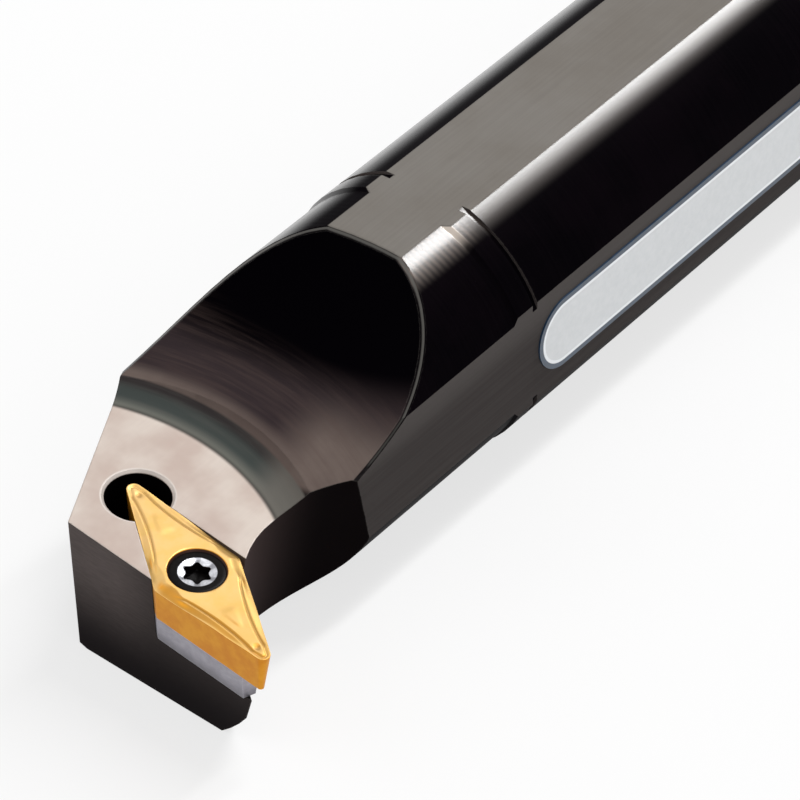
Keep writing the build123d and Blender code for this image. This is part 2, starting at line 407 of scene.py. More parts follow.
steel = Finish("blackened_steel", Specular_IOR_Level=0.005, Coat_Roughness=0.2,
               Coat_Tint=(1.0, 0.97, 0.94, 1))
point = steel.millimetres()
x, y, z = steel.parts(point)
look = steel.normal()
look_x, look_y, look_z = steel.parts(look)
radius = distance(y, z - AXIS_HEIGHT)
from_head = steel.away_from(point, HEAD_ORIGIN)
head_x, head_y, head_z = (steel.along(from_head, axis) for axis in (HEAD_X, HEAD_Y, HEAD_Z))

top_flat = z.over(TOP - 0.1, TOP - 0.03) + z.under(0.03, 0.1)
side_flat = (y.over(SIDE - 0.06, SIDE - 0.02) * look_y.over(0.97, 0.99)
             * x.under(TIP_BLOCK_START - 1, TIP_BLOCK_START))
round_skin = (radius.over(NECK_RADIUS - 0.4, NECK_RADIUS - 0.2) * (1 - top_flat)
              * (1 - side_flat) * x.under(TIP_BLOCK_START - 1, TIP_BLOCK_START + 1))
inside = (NECK_RADIUS - radius).least(TOP - z).least(SIDE - y)
chip_scoop = (inside.over(0.28, 0.36) * look_z.over(0.3, 0.4) * head_z.over(-0.1, 0.05)
              * x.under(279, 280) * z.over(14, 15))
rim = inside.within(0.08, 0.13, 0.2, 0.3) * x.under(273, 274) * z.over(15, 16)
print("masks so far use", len(steel.tree.nodes), "nodes")

# %% [markdown]
# The rake plane around the insert is ground bright after the bar is blackened, and lies a hair
# below the cutting edges. The tool that cuts it stands on an axis of its own and leaves a raised
# band with a round corner at its rim, so both masks measure the distance from that axis. The
# relief hole gives room to the insert's rear corner and sits on its long diagonal.

# %% Masks for the ground faces of the head
RAKE_DROP, RAKE_RADIUS, RAKE_AXIS = 0.15, 26.0, (7.1, -24.5)
RELIEF_RADIUS, RELIEF_AXIS = 3.55, CENTRE - 12.3 * LONG_WAY

rake_x, rake_y = head_x - RAKE_AXIS[0], head_y - RAKE_AXIS[1]
rake_reach = distance(rake_x, rake_y)
rake_plane = ((head_z + RAKE_DROP).size().under(0.03, 0.06)
              * rake_reach.under(RAKE_RADIUS, RAKE_RADIUS + 0.5))
corner_band = (rake_reach.within(RAKE_RADIUS, RAKE_RADIUS + 0.9, 29.8, 30.1)
               * head_z.within(-0.2, -0.16, 2.6, 2.8) * look_z.over(0.4, 0.5) * x.over(262, 264))
hollow = (look_z.under(0.2, 0.3) * look_x.under(0.98, 0.99)
          * y.within(4, 5, SIDE - 0.1, SIDE - 0.02) * x.over(273, 274))
relief_reach = distance(head_x - RELIEF_AXIS[0], head_y - RELIEF_AXIS[1])
relief_rim = (relief_reach.within(RELIEF_RADIUS - 0.15, RELIEF_RADIUS - 0.05,
                                  RELIEF_RADIUS + 0.4, RELIEF_RADIUS + 0.5)
              * head_z.within(-0.5, -0.42, 0.1, 0.2))
relief_bore = (relief_reach.under(RELIEF_RADIUS + 0.15, RELIEF_RADIUS + 0.25)
               * head_z.under(-0.6, -0.45))
print("masks use", len(steel.tree.nodes), "nodes")

# %% [markdown]
# Texture comes from how each face was cut, so every noise is stretched along the tool's path. The
# round skin was turned: its marks run round the bar and change only along it. The flats were
# milled lengthwise. The cutter that swept out the scoop left arcs about the rake tool's axis, and
# the facing tool left rings on the rear end. The rake plane has fine straight scratches, and the
# front has a faint hatch. A soft cloud of noise stands for the uneven bath.

# %% Tool marks and cloud
SWEEP_DRIFT = 0.06
cloud = steel.noise(point, 0.09, 4.0, 0.6)
speck = steel.noise(point, 1.6, 3.0, 0.6)
turned = steel.noise(steel.stretch(point, 1, 0, 0), 2.6, 4.0, 0.7)
milled = steel.noise(steel.stretch(point, 0.02, 1, 1), 3.0, 3.0, 0.6)
ground = steel.noise(steel.stretch(point, 0.05, 1.6, 1), 5.0, 3.0, 0.6)
hatch = steel.noise(steel.stretch(point, 0.2, 0.2, 1.5), 3.0, 3.0, 0.6)
mottle = steel.noise(point, 0.16, 3.0, 0.55)
sweep = steel.node("CombineXYZ", {}, {"X": rake_reach, "Y": SWEEP_DRIFT * rake_x,
                                      "Z": SWEEP_DRIFT * rake_y})
swept = steel.noise(sweep, 1.1, 4.0, 0.65)
rings = steel.noise(steel.node("CombineXYZ", {}, {"X": radius}), 1.3, 4.0, 0.7)
print("tool marks added")

# %% [markdown]
# A narrow groove and a collar end the shank, and a short taper leads down to the slightly thinner
# neck. From the collar on, the skin keeps the coarse ridges of a quick cut. The two shoulders are
# where the skin passes over into the top flat: handling has polished them, so they alone get a
# clear coat that mirrors the long lamp. The Bevel node rounds every edge a little, where real
# steel is never quite sharp, and where it bends the normal most the black has rubbed off.

# %% Neck, shoulders and worn edges
GROOVE_START, COLLAR_START, NECK_START = 244.8, 245.6, 248.8
RIDGE_PITCH = 0.8
ridges = 0.5 + 0.5 * (x * (2 * math.pi / RIDGE_PITCH)).sine()
ridged = x.over(COLLAR_START + 0.1, COLLAR_START + 0.3) * round_skin
tip_shoulder = round_skin * y.within(4, 5, 6.4, 8.8) * z.over(20, 22)
far_shoulder = round_skin * y.under(-10.5, -6.5) * z.over(12, 18)

BAR_EDGE = 0.00022
rounded = steel.soft_normal(BAR_EDGE)
wear = steel.along(rounded, look).under(0.90, 0.995) * speck.over(0.3, 0.6)
print("neck, shoulders and edges marked,", len(steel.tree.nodes), "nodes")

# %% [markdown]
# The colours go on in layers, as coats of paint would: each line keeps the colour so far where its
# mask is 0 and lays a new tone over it where the mask is 1. The first layer is that of any cut
# face, with rings on the rear end and painted shade in the groove, and the round skin's tone
# covers it. A painted highlight lies on the tip-side shoulder and on the taper, with some wear on
# the neck's ridge crests.

# %% Colour of cut faces and of the round skin
cut = steel.shades(hatch, ink(14, 12, 13), ink(30, 27, 28))
# Painted shade: the groove is painted near black.
groove = x.within(GROOVE_START, GROOVE_START + 0.1, COLLAR_START + 0.6, COLLAR_START + 0.7)
cut = steel.blend(groove, cut, ink(5, 4, 5))
rear_end = look_x.under(-0.98, -0.9) * x.under(0.5, 1)
cut = steel.blend(rear_end, cut, steel.shades(rings, ink(26, 24, 25), ink(50, 47, 46)))
skin_tone = steel.blend(cloud.over(0.35, 0.65), ink(2, 1, 3), ink(6, 3, 6))
colour = steel.blend(round_skin * (1 - rear_end), cut, skin_tone)
colour = steel.blend(round_skin * turned.over(0.3, 0.7) * 0.4, colour, ink(12, 9, 12))
# Painted highlight on the tip-side shoulder, stronger on the neck's worn ridge crests.
shoulder_highlight_and_wear = tip_shoulder * (0.3 + 0.5 * x.over(COLLAR_START + 0.4, COLLAR_START + 1.9) * ridges)
colour = steel.blend(shoulder_highlight_and_wear * 0.5, colour, ink(168, 152, 142))
# Painted highlight on the taper where the shoulder's streak crosses it.
taper = (x.within(NECK_START - 0.8, NECK_START - 0.6, NECK_START, NECK_START + 0.2)
         * y.within(4, 5, 6.2, 8.2) * round_skin * z.over(20, 22))
colour = steel.blend(taper * 0.75, colour, ink(224, 214, 204))
print("cut faces and skin coloured,", len(steel.tree.nodes), "nodes")

# %% [markdown]
# The flats are what a lathe's clamp presses on. They are smooth and face the white room squarely,
# and the grey that this gives them beside the black skin is a painted reflection in their colour,
# lighter towards the top on the side flat. The front gets painted shade, darker downwards and
# towards the tip side, and the hollow, where a side cutter made room behind the insert, gets
# painted shade that darkens away from the tip: all are smooth steps.

# %% Colour of the flats, the front and the hollow
# Painted reflection: the flats' grey stands in for the white room that they mirror.
flat_grey = steel.shades(cloud, ink(118, 113, 107), ink(125, 121, 116))
flat_grey = steel.blend(milled.over(0.3, 0.7) * 0.25, flat_grey, ink(104, 100, 96))
colour = steel.blend(top_flat, colour, flat_grey)
side_grey = steel.blend(milled.over(0.3, 0.7) * 0.5, ink(62, 58, 57), ink(72, 68, 67))
# Painted light: the side flat is lighter towards the top.
side_grey = steel.blend(z.over(16, 21) * 0.6, side_grey, ink(92, 88, 86))
colour = steel.blend(side_flat, colour, side_grey)
# Painted shade: the front darkens downwards and towards the tip side.
front_grey = steel.blend(z.over(1, 14), ink(34, 30, 31), ink(94, 86, 84))
front_grey = steel.blend(hatch.over(0.3, 0.7) * 0.2, front_grey, ink(30, 27, 28))
front_grey = steel.blend(y.over(0, 7) * 0.5, front_grey, ink(30, 27, 28))
colour = steel.blend(look_x.over(0.97, 0.985), colour, front_grey)
# Painted shade: the hollow darkens away from the tip.
hollow_grey = steel.blend(x.over(277.5, 290), ink(12, 8, 9), ink(62, 51, 50))
colour = steel.blend(hollow, colour, hollow_grey)
print("flats, front and hollow coloured,", len(steel.tree.nodes), "nodes")

# %% [markdown]
# The scoop is a deep bowl. Its far wall gets painted shade, near black, while the floor that rises
# to the rake plane gets a painted reflection in warm grey, which also lies as a painted highlight
# along the ridge where the band meets the scoop. The rim gets a painted highlight where it faces
# up.

# %% Colour of the scoop and its rim
# Painted shade: black at the far wall, warming to dark brown towards the front.
deep = steel.blend((x + 0.15 * y).over(265.5, 271), ink(2, 1, 3), ink(50, 42, 44))
# Painted reflection: the floor's warm grey, also used for the painted highlight on the ridge.
painted_scoop_light = steel.shades(cloud, ink(98, 86, 81), ink(110, 98, 92))
scoop_tone = steel.blend(y.over(2, 9) * x.over(267, 274) * 0.92, deep, painted_scoop_light)
# Painted highlight along the ridge where the band meets the scoop.
scoop_tone = steel.blend(rake_reach.under(30.3, 32.4) * 0.9, scoop_tone, painted_scoop_light)
scoop_tone = steel.blend(swept.over(0.35, 0.7) * x.over(265, 270) * 0.35, scoop_tone,
                         ink(84, 70, 66))
colour = steel.blend(chip_scoop, colour, scoop_tone)
# Painted highlight: the rim is lighter where it faces up.
rim_tone = steel.blend(look_z.over(0.6, 0.95), ink(44, 43, 41), ink(92, 90, 87))
colour = steel.blend(rim, colour, rim_tone)
print("scoop coloured,", len(steel.tree.nodes), "nodes")

# %% [markdown]
# The band round the rake plane changes tone three times across its round corner, from bright to
# dark, a painted shade that steps with the distance from the tool's axis, and it is painted lighter
# towards the tip side. The relief hole's bore is painted near black as painted shade. Worn edges
# come last and lie over everything.

# %% Colour of the ground faces and of worn edges
# Painted shade across the band's round corner, and painted light towards the tip side.
band_tone = steel.blend(rake_reach.over(26.4, 28.0), ink(112, 112, 105), ink(66, 71, 69))
band_tone = steel.blend(rake_reach.over(28.6, 29.6), band_tone, ink(54, 50, 50))
band_tone = steel.blend(y.over(3, 8) * 0.8, band_tone, ink(110, 106, 100))
band_tone = steel.blend(swept.over(0.4, 0.7) * 0.3, band_tone, ink(92, 90, 86))
colour = steel.blend(corner_band, colour, band_tone)
bright = steel.shades(mottle, ink(182, 165, 156), ink(200, 189, 180))
bright = steel.blend(ground.over(0.3, 0.8) * 0.2, bright, ink(176, 166, 158))
colour = steel.blend(rake_plane, colour, bright)
colour = steel.blend(relief_rim, colour, ink(200, 191, 184))
# Painted shade: the relief hole's bore is painted near black.
colour = steel.blend(relief_bore, colour, ink(5, 4, 5))
worn = steel.blend(rake_plane, ink(96, 92, 89), ink(220, 212, 206))
collar_side = (x.within(GROOVE_START, GROOVE_START + 0.1, NECK_START + 0.3, NECK_START + 0.4)
               * y.over(7.5, 9))
colour = steel.blend(wear * (0.6 - 0.35 * round_skin) * (1 - collar_side), colour, worn)
print("colours joined,", len(steel.tree.nodes), "nodes")

# %% [markdown]
# Bare ground steel is a little more of a mirror than black oxide, and worn edges are smoother than
# the faces beside them. The tool marks also bend the light: one Bump node takes the sum of every
# texture's height, each inside its own mask, at a depth of a few thousandths of a millimetre.

# %% Roughness, metal and relief of the bar
MARK_DEPTH = 0.000006
metal = 0.3 * (rake_plane + relief_rim).least(1)
roughness = (0.38 + 0.1 * cloud + 0.12 * top_flat + 0.1 * chip_scoop + 0.1 * rake_plane
             - 0.06 * wear)
height = (0.35 * speck + 0.5 * (chip_scoop + corner_band) * swept
          + 0.3 * (1 - round_skin) * rings + 0.5 * round_skin * turned + ridged * ridges
          + 0.5 * (top_flat + side_flat) * milled + 0.25 * rake_plane * ground)
steel.feed(Base_Color=colour, Metallic=metal, Roughness=roughness,
           Coat_Weight=tip_shoulder + far_shoulder,
           Normal=steel.bump(height, MARK_DEPTH, rounded))


def dress(node, material):
    """Gives a CAD node its finish by filling each of its material slots."""
    for place in nodes[node].material_slots:
        place.material = material


dress("bar_body", steel.material)
print("bar_body dressed,", len(steel.tree.nodes), "nodes")

# %% [markdown]
# ## New surfaces from two parameters
#
# A turned or moulded piece is a grid of points: one parameter goes round it and the other goes
# from its inside to its outside. Numpy works out the whole grid at once, and this helper joins
# neighbouring points with quads. A grid that closes on itself both ways is a ring with a hole, and
# one whose first and last rows shrink to a point is closed there by fans of triangles.

# %% Grid to mesh
def skin(name, grid, ring, material):
    """A mesh from a grid of points (rows, columns, xyz). Columns always close on themselves.
    With `ring`, rows do too; without it the first and last row become single points."""
    rows, columns, _ = grid.shape
    if ring:
        points = grid.reshape(-1, 3)
        index = np.arange(rows * columns).reshape(rows, columns)
        index = np.vstack([index, index[:1]])
    else:
        points = np.vstack([grid[0].mean(0), grid[1:-1].reshape(-1, 3), grid[-1].mean(0)])
        index = np.arange((rows - 2) * columns).reshape(rows - 2, columns) + 1
        index = np.vstack([np.zeros((1, columns), int), index,
                           np.full((1, columns), len(points) - 1)])
    index = np.hstack([index, index[:, :1]])
    quads = np.stack([index[:-1, :-1], index[1:, :-1], index[1:, 1:], index[:-1, 1:]], -1)
    quads = quads.reshape(-1, 4)
    if ring:
        faces = quads.tolist()
    else:
        faces = (quads[:columns, [0, 1, 2]].tolist() + quads[columns:-columns].tolist()
                 + quads[-columns:, [0, 1, 3]].tolist())
    mesh = bpy.data.meshes.new(name)
    mesh.from_pydata(points, [], faces)
    mesh.polygons.foreach_set("use_smooth", [True] * len(mesh.polygons))
    mesh.set_sharp_from_angle(angle=SHARP_FROM)
    mesh.materials.append(material)
    piece = bpy.data.objects.new(name, mesh)
    bpy.context.scene.collection.objects.link(piece)
    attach(piece, "root")
    return piece


def volume(piece):
    """The space inside a closed mesh, in cubic millimetres: positive when its faces look out."""
    mesh = piece.data
    mesh.calc_loop_triangles()
    places = np.zeros(len(mesh.vertices) * 3)
    mesh.vertices.foreach_get("co", places)
    corners = np.zeros(len(mesh.loop_triangles) * 3, np.int32)
    mesh.loop_triangles.foreach_get("vertices", corners)
    a, b, c = places.reshape(-1, 3)[corners.reshape(-1, 3)].transpose(1, 0, 2)
    return float((np.cross(a, b) * c).sum() / 6 / MM ** 3)


SHARP_FROM = math.radians(38)
print("edges sharper than", round(math.degrees(SHARP_FROM)), "degrees stay crisp")

# %% [markdown]
# ## The insert
#
# The insert is carbide powder pressed in a mould, sintered and coated gold. Its mould leaves what
# the plain solid lacks: the edge sinks a little towards each blunt corner, behind the edge runs a
# crescent groove that curls the chip, and a small dimple and a raised mark sit by each sharp
# corner. A sculpted mesh would only guess at these, so the top is a height worked out from two
# numbers: how far the point is from the edge, and how far along the insert it lies.

# %% Outline of the insert
SHARP_POINTS, BLUNT_POINTS, SIDE_POINTS = 28, 8, 100


def rim_points():
    """u and v of points round the rounded rhombus: each of its four corners is an arc, sampled by
    angle, and each of its four sides a straight run, sampled by length."""
    far, near = CENTRE_DISTANCE, (HALF_WIDTH - NOSE) / math.cos(HALF_ANGLE)
    side = math.pi / 2 - HALF_ANGLE
    arcs = [(far, 0, -side, side, SHARP_POINTS),
            (0, near, side, math.pi - side, BLUNT_POINTS),
            (-far, 0, math.pi - side, math.pi + side, SHARP_POINTS),
            (0, -near, math.pi + side, 2 * math.pi - side, BLUNT_POINTS)]
    ends = []
    for u, v, first, last, count in arcs:
        angle = np.linspace(first, last, count)
        ends.append(np.stack([u + NOSE * np.cos(angle), v + NOSE * np.sin(angle)], -1))
    runs = []
    for this, following in zip(ends, ends[1:] + ends[:1]):
        share = np.linspace(0, 1, SIDE_POINTS)[1:-1, None]
        runs += [this, this[-1] * (1 - share) + following[0] * share]
    return np.vstack(runs)


def outward(uv):
    """Unit normals of a closed row of points: along-row direction turned a quarter."""
    run = np.roll(uv, -1, 0) - np.roll(uv, 1, 0)
    run /= np.linalg.norm(run, axis=1, keepdims=True)
    return np.stack([run[:, 1], -run[:, 0]], -1)


rim_uv = rim_points()
print("outline points:", len(rim_uv), "reach", np.abs(rim_uv).max(0).round(2), "mm")

# %% [markdown]
# Each form on the top is one term of a sum. The groove lies closest to the edge near the sharp
# corners and bows inwards between them, which makes the crescent. The material reads the same
# distances later, so that the groove and the dimple are shaded where they are cut.

# %% Height of the moulded top
GROOVE_INSET, GROOVE_BOW, GROOVE_MIDDLE, GROOVE_HALF_LENGTH = 0.42, 0.58, 6.6, 5.6
DIMPLE_AT, DIMPLE_LENGTH, DIMPLE_WIDTH = 12.15, 0.42, 0.36


def step(value, low, high):
    """Smooth step from 0 at low to 1 at high."""
    t = np.clip((value - low) / (high - low), 0, 1)
    return t * t * (3 - 2 * t)


def edge_distance(u, v):
    """Distance in from the edge: to the nearest side, or within a nose to its round."""
    along_side = np.abs(u) * math.sin(HALF_ANGLE) + np.abs(v) * math.cos(HALF_ANGLE)
    past = np.hypot(np.abs(u) - CENTRE_DISTANCE, v)
    in_nose = (np.abs(u) > CENTRE_DISTANCE) & (
        (np.abs(u) - CENTRE_DISTANCE) * math.cos(HALF_ANGLE) > np.abs(v) * math.sin(HALF_ANGLE))
    return np.where(in_nose, NOSE - past, HALF_WIDTH - along_side)


def top_height(u, v):
    """Land that falls to the sunk edge + fine groove + dimple + raised mark, each a smooth
    function of the distance from the edge and of how far along the insert the point lies."""
    inwards, reach = edge_distance(u, v), np.abs(u)
    edge = -0.45 * (1 - step(reach, 1, 8.5)) - 0.14 * (1 - step(reach, 9.5, 12.6))
    bow = np.clip(1 - ((reach - GROOVE_MIDDLE) / GROOVE_HALF_LENGTH) ** 2, 0, 1)
    crescent = GROOVE_INSET + GROOVE_BOW * bow
    land = crescent + 0.95 * (1 - step(reach, 0.8, 3.6))
    slope = edge * (1 - step(inwards, 0, land))
    groove = -0.13 * step(reach, 1.6, 4.0) * np.exp(-((inwards - crescent) / 0.15) ** 2)
    dimple = -0.1 * np.exp(-(((reach - DIMPLE_AT) / DIMPLE_LENGTH) ** 2
                             + (v / DIMPLE_WIDTH) ** 2))
    half_width = 0.95 * np.clip((9.2 - reach) / 2.9, 0, 1)
    mark = (0.045 * step(reach, 5.8, 6.8) * (1 - step(reach, 8.0, 9.2))
            * (1 - step(np.abs(v), half_width * 0.3, half_width + 0.25)))
    return slope + groove + dimple + mark


sample_u, sample_v = np.array([0, 6.6, 6.6, 13.9]), np.array([4.7, 0.0, 2.0, 0.0])
print("top heights, mm:", top_height(sample_u, sample_v).round(3))

# %% [markdown]
# The whole insert is one closed skin, from the hole out over the top, down the flank and back
# under. Rows crowd together where the form turns quickly and stand apart where it is plain.

# %% The insert as one closed skin
HOLE, MOUTH, THICK = 2.2, 3.15, 4.76
RELIEF_SLOPE = math.tan(math.radians(5))
SCREW_CONE = math.tan(math.radians(30))
BLEND_INSET = 1.5


def insert_grid():
    """Rows from the hole outwards over the top, down the flank, back under and up the hole.
    Top rows are the outline scaled about the centre, so they run beside the edges, and then
    blend into the round mouth of the hole."""
    angle = np.arctan2(rim_uv[:, 1], rim_uv[:, 0])
    circle = np.stack([np.cos(angle), np.sin(angle)], -1)
    inner = rim_uv * (1 - BLEND_INSET / HALF_WIDTH)
    cone, lip = (MOUTH - HOLE) / SCREW_CONE, MOUTH + 0.05
    rows = []
    for drop, size in ((THICK, HOLE), (THICK * 0.6, HOLE), (cone, HOLE),
                       (cone * 0.5, (HOLE + MOUTH) / 2), (0.04, MOUTH - 0.02), (0.0, lip)):
        rows.append(np.column_stack([circle * size, np.full(len(circle), -drop)]))
    for share in np.linspace(0, 1, 30)[1:]:
        uv = circle * lip * (1 - share) + inner * share
        rows.append(np.column_stack([uv, top_height(*uv.T) * step(share, 0.0, 0.3)]))
    for inwards in np.concatenate([np.linspace(BLEND_INSET, 0.12, 44)[1:], [0.08, 0.04, 0.015]]):
        uv = rim_uv * (1 - inwards / HALF_WIDTH)
        rows.append(np.column_stack([uv, top_height(*uv.T)]))
    edge_height, normals = top_height(*rim_uv.T), outward(rim_uv)
    for share in (0.004, 0.02, 0.1, 0.3, 0.5, 0.7, 0.9, 0.98):
        depth = -edge_height * (1 - share) + THICK * share
        uv = rim_uv - RELIEF_SLOPE * depth[:, None] * normals
        rows.append(np.column_stack([uv, -depth]))
    under = rim_uv - RELIEF_SLOPE * THICK * normals
    for share in (0.0, 0.05, 0.5, 0.95):
        uv = under * (1 - share) + circle * HOLE * share
        rows.append(np.column_stack([uv, np.full(len(uv), -THICK)]))
    grid = np.stack(rows)
    return insert_point(grid[..., 0], grid[..., 1], grid[..., 2])


print("insert rows and columns:", insert_grid().shape[:2])

# %% [markdown]
# The coating is a hard ceramic only a few thousandths of a millimetre thick, laid over the whole
# insert, so its grain is fine and even. Its light and shade are painted into the gold: the sides
# and the slopes that tilt to the front get painted shade in a deeper gold, gentle slopes on the
# far side and at the rear the top's lighter gold as painted light, the groove, the dimple and the
# screw's mouth painted shade in brown, and the edges a faint painted highlight.

# %% Places and masks on the insert
GRAIN_DEPTH = 0.000003
SMALL_EDGE = 0.00006
gold = Finish("gold_coating", Metallic=0.72, Specular_IOR_Level=0.5)
spot = gold.millimetres()
gold_cloud = gold.noise(spot, 0.5, 3.0, 0.6)
gold_grain = gold.noise(spot, 9.0, 3.0, 0.65)
gold_round, gold_look = gold.soft_normal(SMALL_EDGE), gold.normal()
gold_up, gold_flat = gold.along(gold_look, HEAD_Z), gold.along(gold_round, gold_look)
from_axis = gold.away_from(spot, INSERT_CENTRE)
gold_u, gold_v, gold_z = (gold.along(from_axis, axis) for axis in (U_AXIS, V_AXIS, HEAD_Z))
gold_reach = gold_u.size()
near_top = gold_z.over(-1.0, -0.9)
edge_in = HALF_WIDTH - gold_reach * math.sin(HALF_ANGLE) - gold_v.size() * math.cos(HALF_ANGLE)
curve = (gold_reach - GROOVE_MIDDLE) / GROOVE_HALF_LENGTH
groove_at = GROOVE_INSET + GROOVE_BOW * (1 - curve * curve).most(0)
in_groove = ((edge_in - groove_at).size().under(0.04, 0.24)
             * gold_reach.within(1.8, 4.2, 12.2, 12.6) * near_top)
dimple_u, dimple_v = (gold_reach - DIMPLE_AT) / DIMPLE_LENGTH, gold_v / DIMPLE_WIDTH
in_dimple = (dimple_u * dimple_u + dimple_v * dimple_v).under(0.2, 1.4) * near_top
in_mouth = (distance(gold_u, gold_v).under(MOUTH - 0.01, MOUTH + 0.05)
            * gold_z.under(-0.12, -0.04))
print("insert masks use", len(gold.tree.nodes), "nodes")

# %% Colours of the insert
top_gold = gold.shades(gold_cloud, ink(212, 172, 98), ink(217, 177, 114))
top_gold = gold.blend(gold_u.over(2, 8) * 0.35, top_gold, ink(194, 150, 74))
shaded_side_gold = gold.shades(gold_cloud, ink(206, 130, 6), ink(218, 150, 24))
# Painted shade: faces that tilt away from up take the deeper gold.
gold_colour = gold.blend(gold_up.over(0.80, 0.96), shaded_side_gold, top_gold)
gentle = gold_up.over(0.7, 0.85)
# Painted light: gentle slopes on the far side and at the rear take the top's lighter gold.
far_slope = gold_v.over(0, 1).most(gold_u.under(-0.8, 0.2)) * gentle
gold_colour = gold.blend(far_slope, gold_colour, top_gold)
# Painted shade on the slopes that tilt towards the front.
front_tilt = gold.along(gold_look, 0.64 * HEAD_X + 0.77 * HEAD_Y).over(0.01, 0.12)
front_slope = front_tilt * gold_u.over(-0.3, 1.0) * gentle
gold_colour = gold.blend(front_slope * 0.85, gold_colour, ink(184, 130, 46))
# Painted shade in the groove and the dimple.
gold_colour = gold.blend(in_groove * (0.3 + 0.4 * gold_cloud), gold_colour, ink(128, 90, 26))
gold_colour = gold.blend(in_dimple * 0.5, gold_colour, ink(140, 96, 30))
# Painted highlight along the edges.
gold_colour = gold.blend(gold_flat.under(0.93, 0.998) * 0.1, gold_colour, ink(250, 220, 160))
# Painted shade in the screw's mouth.
gold_colour = gold.blend(in_mouth, gold_colour, ink(44, 20, 10))
gold.feed(Base_Color=gold_colour, Roughness=0.38 + 0.12 * gold_grain,
          Normal=gold.bump(gold_grain, GRAIN_DEPTH, gold_round))
print("gold coating has", len(gold.tree.nodes), "nodes")

# %% Build the insert
insert = skin("insert_moulded", insert_grid(), True, gold.material)
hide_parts("insert")
print("insert:", len(insert.data.polygons), "faces,", round(volume(insert), 1), "cubic mm")

# %% [markdown]
# ## The two screws
#
# The insert screw is the one that the user turns: a sunk head with a six-lobe socket and a fine
# thread that goes down into a hollow screw. That hollow screw holds the shim, and its own outer
# thread goes into the bar. A thread is a profile that climbs one pitch for each turn round, so its
# radius is a zigzag of depth plus angle. Modelled as part of the same skin, it needs no cutting.

# %% Threads and rows
def zigzag(value):
    """A triangle wave from 0 to 1 and back over each whole step."""
    return 1 - np.abs(2 * np.mod(value, 1) - 1)


def thread_radius(drop, angle, crest, depth, pitch, top, bottom):
    """Crest radius minus the zigzag of drop and angle, fading out at both ends of the thread.
    A negative depth cuts outwards, as in a bore."""
    wave = zigzag(drop / pitch + angle / (2 * math.pi))
    fade = step(drop, top, top + pitch) * (1 - step(drop, bottom - pitch, bottom))
    return crest - depth * wave * fade


def round_rows(rows, angle):
    """Points of rows round the insert's axis. Each row is a radius and a drop below the top of
    the insert, and either may be one number or a value for each angle."""
    size, drop = (np.stack([part + 0 * angle for part in parts]) for parts in zip(*rows))
    return insert_point(size * np.cos(angle), size * np.sin(angle), -drop)


print("zigzag over one turn:", zigzag(np.linspace(0, 1, 5)))

# %% [markdown]
# The insert screw is drawn from the bottom of its socket outwards. A six-lobe socket is a circle
# whose radius swells and shrinks six times in a turn, and a small ripple of twice that rate makes
# its lobes rounder.

# %% Insert screw
SCREW_THREAD = {"crest": 1.74, "depth": 0.22, "pitch": 0.7, "top": 5.2, "bottom": 12.3}
SOCKET_RADIUS, LOBE, LOBE_ROUNDING = 1.34, 0.19, 0.02


def screw_grid():
    """Rows from the bottom of the socket up its wall, over the head, down the cone and the
    threaded shank to the point; columns go round. Socket rows are a circle plus six lobes."""
    angle = np.linspace(0, 2 * math.pi, 192, endpoint=False)
    lobes = (SOCKET_RADIUS + LOBE * np.cos(6 * angle + math.pi)
             + LOBE_ROUNDING * np.cos(12 * angle))
    rows = [(0, 1.75), (lobes * 0.35, 1.68), (lobes * 0.94, 1.55), (lobes, 1.45), (lobes, 0.9),
            (lobes, 0.44), (lobes + 0.03, 0.40), (lobes + 0.08, 0.38), (1.72, 0.32),
            (1.93, 0.27), (2.0, 0.25), (2.06, 0.25), (2.5, 0.25), (2.86, 0.26), (2.95, 0.32)]
    for drop in np.linspace(0.44, 2.36, 10):
        rows.append((MOUTH - (drop - 0.1) * SCREW_CONE, drop))
    for drop in np.linspace(2.45, SCREW_THREAD["bottom"], 220):
        rows.append((thread_radius(drop, angle, **SCREW_THREAD), drop))
    rows += [(1.5, 12.6), (1.2, 12.82), (0.6, 12.84), (0, 12.84)]
    return round_rows(rows, angle)


print("insert screw rows and columns:", screw_grid().shape[:2])

# %% [markdown]
# The shim screw is a tube. Its bore carries the insert screw's thread below and a hexagon for the
# key above, and its shank carries the coarser thread that bites into the bar.

# %% Hollow shim screw
BORE_THREAD = {"crest": 1.8, "depth": -0.18, "pitch": 0.7, "top": 6.6, "bottom": 12.94}
SHANK_THREAD = {"crest": 2.5, "depth": 0.28, "pitch": 0.8, "top": 7.9, "bottom": 12.5}
KEY_HALF_WIDTH = 2.0


def sleeve_grid():
    """Rows up the bore, out over the head, down the outer thread and back in: a ring. The top of
    the bore is a hexagon for the key, whose radius is its half width over a cosine."""
    angle = np.linspace(0, 2 * math.pi, 144, endpoint=False)
    sixth = math.pi / 3
    hexagon = KEY_HALF_WIDTH / np.cos(np.mod(angle + sixth / 2, sixth) - sixth / 2)
    rows = []
    for drop in np.linspace(BORE_THREAD["bottom"], BORE_THREAD["top"], 110):
        rows.append((thread_radius(drop, angle, **BORE_THREAD), drop))
    rows += [(1.85, 6.42), (hexagon, 6.41), (hexagon, 5.5), (hexagon, 4.9), (hexagon + 0.08, 4.81),
             (2.9, 4.81), (3.2, 4.83), (3.3, 4.93), (3.3, 5.9), (3.22, 6.0), (2.6, 6.01),
             (2.5, 6.1)]
    for drop in np.linspace(SHANK_THREAD["top"], SHANK_THREAD["bottom"], 90):
        rows.append((thread_radius(drop, angle, **SHANK_THREAD), drop))
    rows += [(2.42, 12.8), (2.25, 12.94), (1.95, 12.94)]
    return round_rows(rows, angle)


print("shim screw rows and columns:", sleeve_grid().shape[:2])

